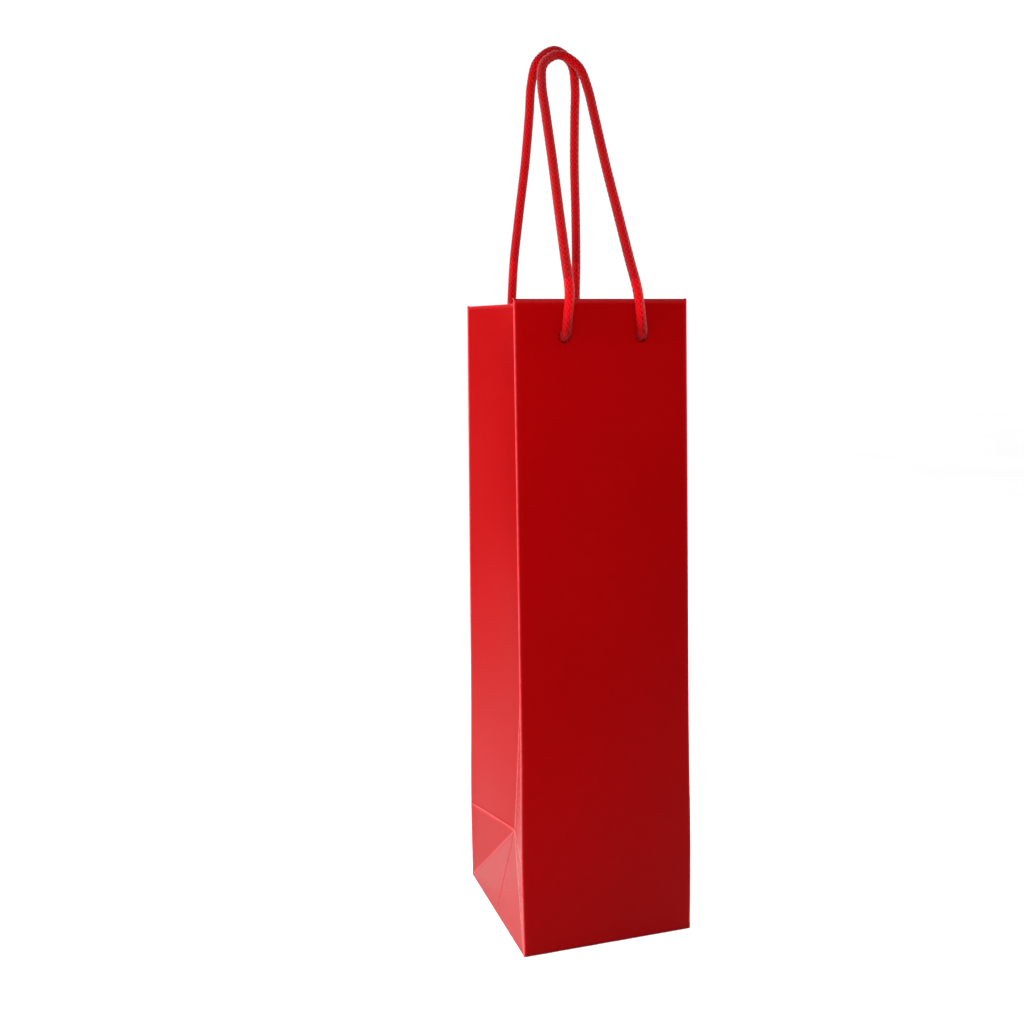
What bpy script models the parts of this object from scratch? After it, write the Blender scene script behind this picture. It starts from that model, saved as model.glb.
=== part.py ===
"""Tall narrow paper gift bag for one bottle, with two cord handles.

The bag is one folded sheet of laminated paper. Each facet between two creases is an object
of its own, and so is each card, board, cord and knot. Everything is in metres: +X is right,
-Y is the front, +Z is up, and the origin is the middle of the base on the floor.
"""

import math

import bpy
from mathutils import Matrix, Vector

# The sheet
HEIGHT = 0.355
WIDTH = 0.100
BASE_DEPTH = 0.100
MOUTH_DEPTH = 0.087
PAPER = 0.0003
GAP = 0.0003

# The side gussets, folded inwards along their middle
FOOT_CREASE = 0.047  # height of the foot's level crease at the bag's corners
APEX_HEIGHT = 0.0485  # height of the foot's top point
APEX_INSET = 0.012  # how far that point lies inside the side plane
MOUTH_INSET = 0.0246
GUSSET_ROWS = 27
GUSSET_HEM_ROWS = 4
EDGE_MARGIN = 0.0014  # clearance beside the front and back panels, inside the seam flap
CREASE_MARGIN = 0.0004
FOOT_MARGIN = 0.0008

# The turned-in hem and the cards behind it
HEM_HEIGHT = 0.035
HEM_HALF_WIDTH = 0.042
HEM_TOP_GAP = 0.0004
GUSSET_HEM_EDGE = 0.004
CARD = 0.0008
CARD_TOP_GAP = 0.0008
CARD_HEIGHT = 0.033

# The bottom
FLAP_HALF_WIDTH = 0.049
FLAP_OVERLAP = 0.012
FLAP_CORNER = 0.010
TUCK_INNER = 0.0129
BOARD = 0.0012
BOARD_SIDE = 0.095
BOARD_CORNER = 0.003
SEAM_FLAP_WIDTH = 0.015
SEAM_FLAP_EDGE = 0.0015
SEAM_FLAP_BOTTOM = 0.004
SEAM_FLAP_TOP = 0.318

# The cords
CORD_RADIUS = 0.00265
HOLE_RADIUS = 0.0030
HOLE_X = 0.022
HOLE_HEIGHT = 0.335
HOLE_SIDES = 24
CORD_POINTS = 46
KNOT_HALF_WIDTH = 0.0066
KNOT_HALF_HEIGHT = 0.0076
KNOT_TAIL = 0.016
KNOT_SIDES = 20
KNOT_RINGS = 12
TAIL_SIDES = 16

# Half of each handle, from its hole over the rim to the top of its loop: x, outward y, z.
# The front handle leans far in over the mouth, and the back one only a little.
FRONT_ROUTE = (
    (HOLE_X, 0.0469, HOLE_HEIGHT),
    (0.0209, 0.0469, 0.3450),
    (0.0198, 0.0465, 0.3550),
    (0.0192, 0.0443, 0.3630),
    (0.0184, 0.0370, 0.3775),
    (0.0171, 0.0250, 0.4030),
    (0.0156, 0.0119, 0.4310),
    (0.0146, -0.0008, 0.4590),
    (0.0138, -0.0092, 0.4770),
    (0.0105, -0.0151, 0.4900),
    (0.0, -0.0178, 0.4965),
)
BACK_ROUTE = (
    (HOLE_X, 0.0469, HOLE_HEIGHT),
    (0.0213, 0.0469, 0.3450),
    (0.0208, 0.0465, 0.3550),
    (0.0205, 0.0459, 0.3640),
    (0.0199, 0.0433, 0.3830),
    (0.0178, 0.0385, 0.4110),
    (0.0155, 0.0341, 0.4380),
    (0.0142, 0.0300, 0.4640),
    (0.0136, 0.0276, 0.4810),
    (0.0104, 0.0254, 0.4940),
    (0.0, 0.0245, 0.5005),
)

CURVE_STEPS = 24  # steps between two points of a route
CORNER_STEPS = 3  # steps round a corner of the board
EMPTY_SIZE = 0.02
UPRIGHT = (math.radians(90), 0.0, 0.0)
TURNED_ROUND = (0.0, 0.0, math.pi)

TILT = math.atan2((BASE_DEPTH - MOUTH_DEPTH) / 2, HEIGHT)
SLOPE_HEIGHT = HEIGHT / math.cos(TILT)
HEM_BOTTOM = HEIGHT - HEM_HEIGHT
CARD_DEPTH = PAPER + GAP
HEM_DEPTH = CARD_DEPTH + CARD + GAP
KNOT_DEPTH = HEM_DEPTH + PAPER + GAP + KNOT_HALF_WIDTH


def clear_scene():
    for obj in list(bpy.data.objects):
        bpy.data.objects.remove(obj, do_unlink=True)


def new_collection(name):
    collection = bpy.data.collections.new(name)
    bpy.context.scene.collection.children.link(collection)
    return collection


def new_material(name, colour, roughness):
    material = bpy.data.materials.new(name)
    material.use_nodes = True
    shader = material.node_tree.nodes["Principled BSDF"]
    shader.inputs["Base Color"].default_value = (*colour, 1.0)
    shader.inputs["Roughness"].default_value = roughness
    shader.inputs["Metallic"].default_value = 0.0
    return material


def add_object(name, data, material, parent=None):
    obj = bpy.data.objects.new(name, data)
    obj.data.materials.append(material)
    obj.parent = parent
    gift_bag.objects.link(obj)
    return obj


def add_empty(name, location, turn=(0.0, 0.0, 0.0)):
    empty = bpy.data.objects.new(name, None)
    empty.location = location
    empty.rotation_euler = turn
    empty.empty_display_size = EMPTY_SIZE
    gift_bag.objects.link(empty)
    return empty


def circle(centre, radius, sides):
    turns = (math.tau * i / sides for i in range(sides))
    return [(centre[0] + radius * math.cos(a), centre[1] + radius * math.sin(a)) for a in turns]


def plate(name, outlines, thickness, material, parent, location, turn=(0.0, 0.0, 0.0)):
    """A flat plate. The first outline is its edge, and the others are holes through it."""
    curve = bpy.data.curves.new(name, "CURVE")
    curve.dimensions = "2D"
    curve.fill_mode = "BOTH"
    curve.extrude = thickness / 2
    for outline in outlines:
        spline = curve.splines.new("POLY")
        spline.points.add(len(outline) - 1)
        for point, (x, y) in zip(spline.points, outline):
            point.co = (x, y, 0.0, 1.0)
        spline.use_cyclic_u = True
    obj = add_object(name, curve, material, parent)
    obj.location = location
    obj.rotation_euler = turn


def facet(name, rows, material, parent):
    """A sheet of paper through rows of points, as thick to one side as to the other."""
    mesh = bpy.data.meshes.new(name)
    points = [point for row in rows for point in row]
    columns = len(rows[0])
    faces = []
    for r in range(len(rows) - 1):
        for c in range(columns - 1):
            low = r * columns + c
            faces.append((low, low + 1, low + 1 + columns, low + columns))
    mesh.from_pydata(points, [], faces)
    mesh.validate()
    thicken(add_object(name, mesh, material, parent))


def triangle(name, corners, margin, material, parent):
    """A three-cornered facet, drawn in from its creases by the margin."""
    a, b, c = (Vector(corner) for corner in corners)
    sides = ((b - c).length, (c - a).length, (a - b).length)
    around = sum(sides)
    middle = (a * sides[0] + b * sides[1] + c * sides[2]) / around
    inner_radius = (b - a).cross(c - a).length / around
    keep = 1 - margin / inner_radius
    mesh = bpy.data.meshes.new(name)
    mesh.from_pydata([middle + (corner - middle) * keep for corner in (a, b, c)], [], [(0, 1, 2)])
    thicken(add_object(name, mesh, material, parent))


def thicken(obj):
    solidify = obj.modifiers.new("Paper", "SOLIDIFY")
    solidify.thickness = PAPER
    solidify.offset = 0.0
    solidify.use_even_offset = True


def half_depth(z):
    """Half the distance between the outer faces of the front and back panels."""
    return (BASE_DEPTH - (BASE_DEPTH - MOUTH_DEPTH) * z / HEIGHT) / 2


def inset(z):
    """How far the gusset's middle crease lies inside the side plane."""
    share = (z - APEX_HEIGHT) / (HEIGHT - APEX_HEIGHT)
    return math.sqrt(APEX_INSET**2 + (MOUTH_INSET**2 - APEX_INSET**2) * share)


def smooth_path(route, count):
    """Evenly spaced points on a Catmull-Rom curve through the route."""
    ends = [route[0] * 2 - route[1], *route, route[-1] * 2 - route[-2]]
    fine = []
    for before, start, end, after in zip(ends, ends[1:], ends[2:], ends[3:]):
        for i in range(CURVE_STEPS):
            t = i / CURVE_STEPS
            fine.append(
                0.5
                * (
                    2 * start
                    + (end - before) * t
                    + (2 * before - 5 * start + 4 * end - after) * t**2
                    + (3 * start - before - 3 * end + after) * t**3
                )
            )
    fine.append(route[-1])
    travelled = [0.0]
    for start, end in zip(fine, fine[1:]):
        travelled.append(travelled[-1] + (end - start).length)
    even = []
    k = 0
    for i in range(count):
        wanted = travelled[-1] * i / (count - 1)
        while k < len(fine) - 2 and travelled[k + 1] < wanted:
            k += 1
        share = (wanted - travelled[k]) / (travelled[k + 1] - travelled[k])
        even.append(fine[k].lerp(fine[k + 1], share))
    return even


def build_panel(side, plane):
    """The front or back panel with its rope holes, and the card and hem behind it."""
    hole_z = HOLE_HEIGHT / math.cos(TILT)
    holes = [circle((x, hole_z), HOLE_RADIUS, HOLE_SIDES) for x in (-HOLE_X, HOLE_X)]

    def layer(name, half_width, low, high, depth, thickness, material):
        outline = [(-half_width, low), (half_width, low), (half_width, high), (-half_width, high)]
        location = (0.0, depth + thickness / 2, 0.0)
        plate(name, [outline, *holes], thickness, material, plane, location, UPRIGHT)

    layer(f"{side}_panel", WIDTH / 2, 0.0, SLOPE_HEIGHT, 0.0, PAPER, red_paper)
    card_top = SLOPE_HEIGHT - CARD_TOP_GAP
    card_name = f"{side}_reinforcement_card"
    layer(card_name, HEM_HALF_WIDTH, card_top - CARD_HEIGHT, card_top, CARD_DEPTH, CARD, white_card)
    hem_top = SLOPE_HEIGHT - HEM_TOP_GAP
    layer(f"{side}_hem", HEM_HALF_WIDTH, HEM_BOTTOM, hem_top, HEM_DEPTH, PAPER, red_paper)


def build_knot(name, x, plane):
    """A stopper knot inside the hem, with its short tail and the cord through the hole."""
    z = HOLE_HEIGHT / math.cos(TILT)
    bpy.ops.mesh.primitive_uv_sphere_add(segments=KNOT_SIDES, ring_count=KNOT_RINGS, radius=1.0)
    knot = bpy.context.object
    knot.name = knot.data.name = name
    for collection in list(knot.users_collection):
        collection.objects.unlink(knot)
    gift_bag.objects.link(knot)
    knot.data.materials.append(red_cord)
    knot.data.transform(Matrix.Diagonal((KNOT_HALF_WIDTH, KNOT_HALF_WIDTH, KNOT_HALF_HEIGHT, 1.0)))
    knot.location = (x, KNOT_DEPTH, z)
    knot.parent = plane
    knot.data.shade_smooth()

    def join_round(length, location, turn):
        bpy.ops.mesh.primitive_cylinder_add(vertices=TAIL_SIDES, radius=CORD_RADIUS, depth=length)
        piece = bpy.context.object
        piece.name = f"{name}_joined"
        for collection in list(piece.users_collection):
            collection.objects.unlink(piece)
        cutters.objects.link(piece)
        piece.location = location
        piece.rotation_euler = turn
        piece.parent = plane
        piece.hide_render = True
        piece.display_type = "WIRE"
        union = knot.modifiers.new("Joined", "BOOLEAN")
        union.operation = "UNION"
        union.object = piece

    join_round(KNOT_DEPTH, (x, KNOT_DEPTH / 2, z), UPRIGHT)
    join_round(KNOT_TAIL, (x, KNOT_DEPTH, z - KNOT_TAIL / 2), (0.0, 0.0, 0.0))


def build_handle(side, route, outward):
    """A cord handle. Its origin is on the line through its two holes, about which it swings."""
    hinge = Vector((0.0, outward * route[0][1], HOLE_HEIGHT))
    half = [Vector((x, outward * y, z)) - hinge for x, y, z in route]
    other_half = [Vector((-p.x, p.y, p.z)) for p in reversed(half[:-1])]
    curve = bpy.data.curves.new(f"{side}_handle_cord", "CURVE")
    curve.dimensions = "3D"
    curve.bevel_depth = CORD_RADIUS
    curve.bevel_resolution = 3
    curve.use_fill_caps = True
    points = smooth_path(half + other_half, CORD_POINTS)
    spline = curve.splines.new("POLY")
    spline.points.add(len(points) - 1)
    for point, place in zip(spline.points, points):
        point.co = (*place, 1.0)
    handle = add_object(f"{side}_handle_cord", curve, red_cord)
    handle.location = hinge


def build_gusset(side, hinge):
    """A side gusset. Its empty stands on the base's side edge, with +X pointing into the bag."""
    apex = Vector((APEX_INSET, 0.0, APEX_HEIGHT))
    corners = {}
    for half, sign in (("front", -1), ("back", 1)):
        # The right gusset is the left one turned round, so its halves change places.
        towards = sign if side == "left" else -sign
        corner = Vector((0.0, towards * BASE_DEPTH / 2, 0.0))
        side_point = Vector((0.0, towards * half_depth(FOOT_CREASE), FOOT_CREASE))
        corners[half] = corner

        rows = []
        for i in range(GUSSET_ROWS):
            share = i / (GUSSET_ROWS - 1)
            edge_z = FOOT_CREASE + FOOT_MARGIN + (HEIGHT - FOOT_CREASE - FOOT_MARGIN) * share
            crease_z = APEX_HEIGHT + FOOT_MARGIN + (HEIGHT - APEX_HEIGHT - FOOT_MARGIN) * share
            rows.append(gusset_row(edge_z, crease_z, towards, EDGE_MARGIN, 0.0))
        hem_rows = []
        for i in range(GUSSET_HEM_ROWS):
            z = HEM_BOTTOM + (HEM_HEIGHT - HEM_TOP_GAP) * i / (GUSSET_HEM_ROWS - 1)
            hem_rows.append(gusset_row(z, z, towards, GUSSET_HEM_EDGE, PAPER + GAP))
        facet(f"{side}_gusset_{half}_half", rows, red_paper, hinge)
        facet(f"{side}_gusset_{half}_hem", hem_rows, red_paper, hinge)
        triangle(f"{side}_foot_{half}_facet", (corner, apex, side_point), FOOT_MARGIN, red_paper, hinge)
    base = (corners["front"], corners["back"], apex)
    triangle(f"{side}_foot_base_facet", base, FOOT_MARGIN, red_paper, hinge)


def gusset_row(edge_z, crease_z, towards, edge_margin, inward):
    """The two ends of a gusset half at one height, moved inward at a right angle to it."""
    edge = Vector((0.0, towards * half_depth(edge_z), edge_z))
    crease = Vector((inset(crease_z), 0.0, crease_z))
    along = (crease - edge).normalized()
    normal = Vector((abs(along.y), towards * along.x, 0.0)) * inward
    return (edge + along * edge_margin + normal, crease - along * CREASE_MARGIN + normal)


def build_bottom():
    """Four folded flaps, each in its own layer from the floor up, and the board on them."""
    flap = [
        (-FLAP_HALF_WIDTH, -FLAP_HALF_WIDTH),
        (FLAP_HALF_WIDTH, -FLAP_HALF_WIDTH),
        (FLAP_HALF_WIDTH, FLAP_OVERLAP - FLAP_CORNER),
        (FLAP_HALF_WIDTH - FLAP_CORNER, FLAP_OVERLAP),
        (FLAP_CORNER - FLAP_HALF_WIDTH, FLAP_OVERLAP),
        (-FLAP_HALF_WIDTH, FLAP_OVERLAP - FLAP_CORNER),
    ]
    tuck = [
        (-FLAP_HALF_WIDTH, -FLAP_HALF_WIDTH),
        (-TUCK_INNER, -TUCK_INNER),
        (-TUCK_INNER, TUCK_INNER),
        (-FLAP_HALF_WIDTH, FLAP_HALF_WIDTH),
    ]
    layers = [PAPER / 2 + i * (PAPER + GAP) for i in range(3)]
    plate("bottom_flap_back", [flap], PAPER, red_paper, None, (0, 0, layers[0]), TURNED_ROUND)
    plate("bottom_flap_front", [flap], PAPER, red_paper, None, (0, 0, layers[1]))
    plate("bottom_tuck_left", [tuck], PAPER, red_paper, None, (0, 0, layers[2]))
    plate("bottom_tuck_right", [tuck], PAPER, red_paper, None, (0, 0, layers[2]), TURNED_ROUND)

    half = BOARD_SIDE / 2 - BOARD_CORNER
    quarters = ((half, half, 0), (-half, half, 90), (-half, -half, 180), (half, -half, 270))
    board = []
    for x, y, start in quarters:
        for step in range(CORNER_STEPS + 1):
            turn = math.radians(start + 90 * step / CORNER_STEPS)
            board.append((x + BOARD_CORNER * math.cos(turn), y + BOARD_CORNER * math.sin(turn)))
    board_height = 3 * (PAPER + GAP) + BOARD / 2
    plate("base_board", [board], BOARD, grey_board, None, (0, 0, board_height))


def build_seam_flap(plane):
    """The strip that closes the sheet into a tube, glued inside the back panel."""
    high_x = WIDTH / 2 - SEAM_FLAP_EDGE
    low_x = high_x - SEAM_FLAP_WIDTH
    low_z, high_z = SEAM_FLAP_BOTTOM, SEAM_FLAP_TOP
    outline = [(-high_x, low_z), (-low_x, low_z), (-low_x, high_z), (-high_x, high_z)]
    location = (0.0, PAPER + GAP + PAPER / 2, 0.0)
    plate("glue_seam_flap", [outline], PAPER, red_paper, plane, location, UPRIGHT)


clear_scene()
gift_bag = new_collection("gift_bag")
cutters = new_collection("cutters")
cutters.hide_render = True

red_paper = new_material("red_laminated_paper", (0.37, 0.003, 0.004), 0.32)
white_card = new_material("white_card", (0.82, 0.80, 0.76), 0.75)
grey_board = new_material("grey_board", (0.46, 0.44, 0.41), 0.85)
red_cord = new_material("red_braided_cord", (0.52, 0.006, 0.008), 0.55)

front_plane = add_empty("front_plane", (0.0, -BASE_DEPTH / 2, 0.0), (-TILT, 0.0, 0.0))
back_plane = add_empty("back_plane", (0.0, BASE_DEPTH / 2, 0.0), (-TILT, 0.0, math.pi))
for plane_side, plane_empty in (("front", front_plane), ("back", back_plane)):
    build_panel(plane_side, plane_empty)
    # Seen from outside, the back panel's own right-hand hole is on the bag's left.
    x_to_bag = 1 if plane_side == "front" else -1
    for knot_side, knot_x in (("left", -HOLE_X), ("right", HOLE_X)):
        build_knot(f"{plane_side}_{knot_side}_knot", knot_x * x_to_bag, plane_empty)
build_seam_flap(back_plane)
build_bottom()
build_gusset("left", add_empty("left_gusset_hinge", (-WIDTH / 2, 0.0, 0.0)))
build_gusset("right", add_empty("right_gusset_hinge", (WIDTH / 2, 0.0, 0.0), TURNED_ROUND))
build_handle("front", FRONT_ROUTE, -1)
build_handle("back", BACK_ROUTE, 1)
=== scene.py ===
"""Looks of a tall red paper gift bag: its folded sheet, turned-in rim, base, knots and cord handles.

Everything is in metres in the CAD frame: +X is right, -Y is the front, +Z is up, and the origin
is the middle of the base on the floor.
"""

import math

import bpy
import numpy as np
from mathutils import Matrix, Vector


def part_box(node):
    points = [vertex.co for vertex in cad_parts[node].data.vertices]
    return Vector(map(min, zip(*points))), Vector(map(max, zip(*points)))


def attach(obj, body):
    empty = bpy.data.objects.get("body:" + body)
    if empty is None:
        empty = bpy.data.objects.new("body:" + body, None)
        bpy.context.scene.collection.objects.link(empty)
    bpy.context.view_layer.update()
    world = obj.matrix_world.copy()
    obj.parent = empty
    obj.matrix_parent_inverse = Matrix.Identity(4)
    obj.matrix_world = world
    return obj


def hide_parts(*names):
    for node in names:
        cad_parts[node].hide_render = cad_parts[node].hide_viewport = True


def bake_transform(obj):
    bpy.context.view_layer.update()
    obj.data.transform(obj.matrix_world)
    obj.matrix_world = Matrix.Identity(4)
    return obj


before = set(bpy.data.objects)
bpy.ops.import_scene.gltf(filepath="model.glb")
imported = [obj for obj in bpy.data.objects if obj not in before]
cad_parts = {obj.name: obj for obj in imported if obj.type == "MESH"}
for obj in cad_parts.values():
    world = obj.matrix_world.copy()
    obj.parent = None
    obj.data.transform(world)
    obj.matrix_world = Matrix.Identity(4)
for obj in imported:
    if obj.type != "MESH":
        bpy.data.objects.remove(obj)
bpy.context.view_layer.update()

# The bag, read from the CAD where its boxes give it
panel_low, panel_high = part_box("front_panel")
HEIGHT = panel_high.z
HALF_WIDTH = panel_high.x
HALF_BASE = -panel_low.y
HALF_MOUTH = 0.0435
FOOT_CREASE = 0.0470  # height of the foot's level crease at the corners
APEX_HEIGHT = 0.0485  # height of the foot's top point
APEX_INSET = 0.0120
MOUTH_INSET = 0.0246
HEM_HEIGHT = 0.0350
HEM_HALF_WIDTH = 0.0478
WALL = 0.0020  # from the panel's outer face to the hem's inner face
PAPER = 0.0003
FOLD = 0.00050  # outer radius of a fold
FLOOR_GAP = 0.0001  # the paper stops this far above z = 0, and the floor lies as far below it
RIM_FOLD = 0.0030  # how far down the white side of the rim's fold is hidden
HOLE_X = 0.0220
HOLE_HEIGHT = 0.3350
HOLE_RADIUS = 0.0030
HOLE_BLOCK = 0.0050  # half of the square of mesh that is remade round each hole
HOLE_ZONE = 0.0285  # the columns nearer the middle than this fit the holes
PANEL_EDGE = 0.0492  # where a panel's flat face ends and its corner folds start
GUSSET_FOLD = 0.00045  # radius of the gusset's rim
NUDGE = 1e-9  # keeps the sign of y at a gusset's very middle
CREASE_WIDTH = 0.0005  # of the rounding and the rubbed line at a sharp fold

# The cords
CORD_RADIUS = 0.00265
CORD_SIDES = 80
RING_STEP = 0.0003
STRANDS = 8  # strands that wind each way
LAY = 0.0250  # length of one turn of a strand
CORE_RADIUS = 0.00212
YARN_HEIGHT = 0.00046
YARN_LIFT = 0.00014
ELBOW = 0.0030
ELBOW_POINTS = 14

# The knots
KNOT_SCALE = 0.0019  # size of the loose knot that is tightened
KNOT_STEP = 0.0012  # between the points that are moved
KNOT_ROUNDS = 900
KNOT_RESPACING = 20  # rounds between two respacings of the points
KNOT_HELD = 4  # points at each end that stay where they are

# The floor
FLOOR_SIDES = 96
FLOOR_RADII = (0.4, 1.5, 4.0, 12.0)

# Half of each handle, from its hole over the rim to the top of its loop: x, outward y, z
FRONT_ROUTE = (
    (HOLE_X, 0.0469, HOLE_HEIGHT),
    (0.0209, 0.0469, 0.3450),
    (0.0198, 0.0465, 0.3550),
    (0.0192, 0.0443, 0.3630),
    (0.0184, 0.0370, 0.3775),
    (0.0171, 0.0250, 0.4030),
    (0.0156, 0.0119, 0.4310),
    (0.0146, -0.0008, 0.4590),
    (0.0138, -0.0092, 0.4770),
    (0.0105, -0.0151, 0.4900),
    (0.0, -0.0178, 0.4965),
)
BACK_ROUTE = (
    (HOLE_X, 0.0469, HOLE_HEIGHT),
    (0.0213, 0.0469, 0.3450),
    (0.0208, 0.0465, 0.3550),
    (0.0205, 0.0459, 0.3640),
    (0.0199, 0.0433, 0.3830),
    (0.0178, 0.0385, 0.4110),
    (0.0155, 0.0341, 0.4380),
    (0.0142, 0.0300, 0.4640),
    (0.0136, 0.0276, 0.4810),
    (0.0104, 0.0254, 0.4940),
    (0.0, 0.0245, 0.5005),
)


# ---------------------------------------------------------------- camera and light


def aim(obj, place, forward, up=Vector((0, 0, 1))):
    """Places obj with its -Z along forward and its +Y as near to up as it goes."""
    forward = forward.normalized()
    right = forward.cross(up).normalized()
    true_up = right.cross(forward)
    turn = Matrix((right, true_up, -forward)).transposed()
    obj.matrix_world = Matrix.Translation(place) @ turn.to_4x4()


def build_camera():
    """The photo's viewpoint: in front of the bag and to its left, a little below the rim."""
    place = Vector((-0.2306, -0.5843, 0.3264))
    yaw, pitch, roll = math.radians(16.27), math.radians(-5.46), math.radians(-0.86)
    lens_mm, shift_right, shift_up = 38.3203, 0.03809, -0.05176
    forward = Vector(
        (math.sin(yaw) * math.cos(pitch), math.cos(yaw) * math.cos(pitch), math.sin(pitch))
    )
    right = Vector((math.cos(yaw), -math.sin(yaw), 0.0))
    up = right.cross(forward)
    rolled_up = up * math.cos(roll) - right * math.sin(roll)
    data = bpy.data.cameras.new("camera")
    data.lens = lens_mm
    data.shift_x, data.shift_y = shift_right, shift_up
    data.clip_start = 0.01
    camera = bpy.data.objects.new("camera", data)
    bpy.context.scene.collection.objects.link(camera)
    aim(camera, place, forward, rolled_up)
    bpy.context.scene.camera = camera


def area_light(name, place, target, size, power):
    """A white softbox that the camera doesn't see."""
    data = bpy.data.lights.new(name, "AREA")
    data.shape = "RECTANGLE"
    data.size, data.size_y = size
    data.energy = power
    light = bpy.data.objects.new(name, data)
    light.visible_camera = False
    bpy.context.scene.collection.objects.link(light)
    place = Vector(place)
    aim(light, place, Vector(target) - place)


def build_world():
    """A white studio, bright overhead and behind the bag and dim at the camera's side."""
    world = bpy.data.worlds.new("studio")
    world.use_nodes = True
    bpy.context.scene.world = world
    tree = world.node_tree
    background = tree.nodes["Background"]
    where = tree.nodes.new("ShaderNodeTexCoord")
    split = tree.nodes.new("ShaderNodeSeparateXYZ")
    tree.links.new(where.outputs["Generated"], split.inputs[0])

    def glow(axis, start, full, strength):
        ramp = tree.nodes.new("ShaderNodeMapRange")
        ramp.interpolation_type = "SMOOTHSTEP"
        for key, value in (("From Min", start), ("From Max", full), ("To Max", strength)):
            ramp.inputs[key].default_value = value
        tree.links.new(split.outputs[axis], ramp.inputs["Value"])
        return ramp.outputs["Result"]

    total = tree.nodes.new("ShaderNodeMath")
    tree.links.new(glow("Y", 0.05, 0.95, 2.80), total.inputs[0])
    tree.links.new(glow("Z", 0.55, 0.95, 1.00), total.inputs[1])
    path = tree.nodes.new("ShaderNodeLightPath")
    mix = tree.nodes.new("ShaderNodeMix")
    mix.data_type = "FLOAT"
    seen_strength = 1.05
    mix.inputs[3].default_value = seen_strength
    tree.links.new(path.outputs["Is Camera Ray"], mix.inputs[0])
    tree.links.new(total.outputs[0], mix.inputs[2])
    tree.links.new(mix.outputs[0], background.inputs["Strength"])
    background.inputs["Color"].default_value = (1.0, 1.0, 1.0, 1.0)


def build_lights():
    area_light("front_softbox", (-0.13, -0.375, 0.48), (-0.03, -0.04, 0.30), (0.10, 0.10), 2.5)
    area_light("left_softbox", (-0.90, -0.10, 0.42), (-0.05, 0.0, 0.15), (0.4, 0.4), 14.0)
    area_light("low_left_softbox", (-0.42, -0.12, 0.06), (-0.05, -0.01, 0.02), (0.2, 0.12), 2.4)
    area_light("right_softbox", (0.95, -0.05, 0.55), (0.05, 0.0, 0.15), (0.6, 0.6), 8.0)


# ---------------------------------------------------------------- materials


class Surface:
    """A material's nodes. Named inputs take a number, a colour or another node's socket."""

    def __init__(self, name, **values):
        self.material = bpy.data.materials.new(name)
        self.material.use_nodes = True
        self.tree = self.material.node_tree
        self.shader = self.tree.nodes["Principled BSDF"]
        self.fill(self.shader, values)

    def fill(self, node, values):
        for key, value in values.items():
            socket = node.inputs[key] if isinstance(key, int) else node.inputs[key.replace("_", " ")]
            if isinstance(value, bpy.types.NodeSocket):
                self.tree.links.new(value, socket)
            elif hasattr(value, "__len__") and len(value) == 3 and socket.type == "RGBA":
                socket.default_value = (*value, 1.0)
            else:
                socket.default_value = value

    def add(self, kind, values=None, **settings):
        node = self.tree.nodes.new("ShaderNode" + kind)
        for key, value in settings.items():
            setattr(node, key, value)
        self.fill(node, values or {})
        return node

    def set(self, **values):
        self.fill(self.shader, values)

    def place(self):
        return self.add("TexCoord").outputs["Object"]

    def attribute(self, name):
        return self.add("Attribute", attribute_name=name).outputs["Fac"]

    def noise(self, scale, detail=3.0, roughness=0.55, stretch=None):
        where = self.place()
        if stretch:
            where = self.add("Mapping", {"Vector": where, "Scale": stretch}).outputs[0]
        values = {"Vector": where, "Scale": scale, "Detail": detail, "Roughness": roughness}
        return self.add("TexNoise", values).outputs["Fac"]

    def math(self, operation, a, b=0.0, c=0.0, clamp=False):
        values = {0: a, 1: b, 2: c}
        return self.add("Math", values, operation=operation, use_clamp=clamp).outputs[0]

    def range(self, value, low, high, to_low, to_high):
        values = {"Value": value, "From Min": low, "From Max": high}
        values.update({"To Min": to_low, "To Max": to_high})
        return self.add("MapRange", values).outputs["Result"]

    def mix(self, share, a, b):
        node = self.add("Mix", data_type="RGBA")
        self.fill(node, {0: share, 6: a, 7: b})
        return node.outputs[2]

    def bump(self, height, strength, distance, under=None):
        values = {"Height": height, "Strength": strength, "Distance": distance}
        if under is not None:
            values["Normal"] = under
        return self.add("Bump", values).outputs["Normal"]


def red_laminate(name):
    """Red printed paper under a satin film, paler and rougher where it is folded or rubbed, with painted
    highlights on its folds and rims and painted shade along the panels' rim tops, floor folds and hole
    edges.
    """
    s = Surface(name, IOR=1.25, Metallic=0.0, Specular_Tint=(1.0, 0.0, 0.01))
    broad = s.noise(14.0, 2.0)
    grain = s.noise(900.0, 2.0)
    red = s.mix(s.range(broad, 0.3, 0.7, 0.0, 1.0), (0.150, 0.0004, 0.0007), (0.140, 0.0003, 0.0006))
    red = s.mix(s.range(grain, 0.3, 0.7, 0.0, 0.10), red, (0.180, 0.0006, 0.0010))
    wear_and_painted_light = s.attribute("wear_and_painted_light")
    # Paler pink along folds and rims: rubbed film, plus painted highlight on the rounded folds.
    rubbed_and_highlit = s.math("MULTIPLY", wear_and_painted_light, s.range(s.noise(420.0), 0.3, 0.65, 0.55, 1.0), clamp=True)
    red = s.mix(s.math("MULTIPLY", rubbed_and_highlit, 0.85), red, (0.36, 0.028, 0.033))
    # Painted shade: darker red where the mark is negative, along the panels' rim tops, floor folds and hole
    # edges.
    painted_shade = s.math("MULTIPLY", wear_and_painted_light, -1.0, clamp=True)
    red = s.mix(painted_shade, red, (0.060, 0.0003, 0.0005))
    smear = s.noise(55.0, 4.0)
    rough = s.range(smear, 0.3, 0.7, 0.23, 0.27)
    rough = s.math("MULTIPLY_ADD", rubbed_and_highlit, 0.14, rough)
    peel = s.bump(s.noise(260.0, 2.0), 0.08, 0.00010)
    fine = s.bump(grain, 0.06, 0.00004, peel)
    s.set(Base_Color=red, Roughness=rough, Normal=fine)
    return s.material


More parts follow.
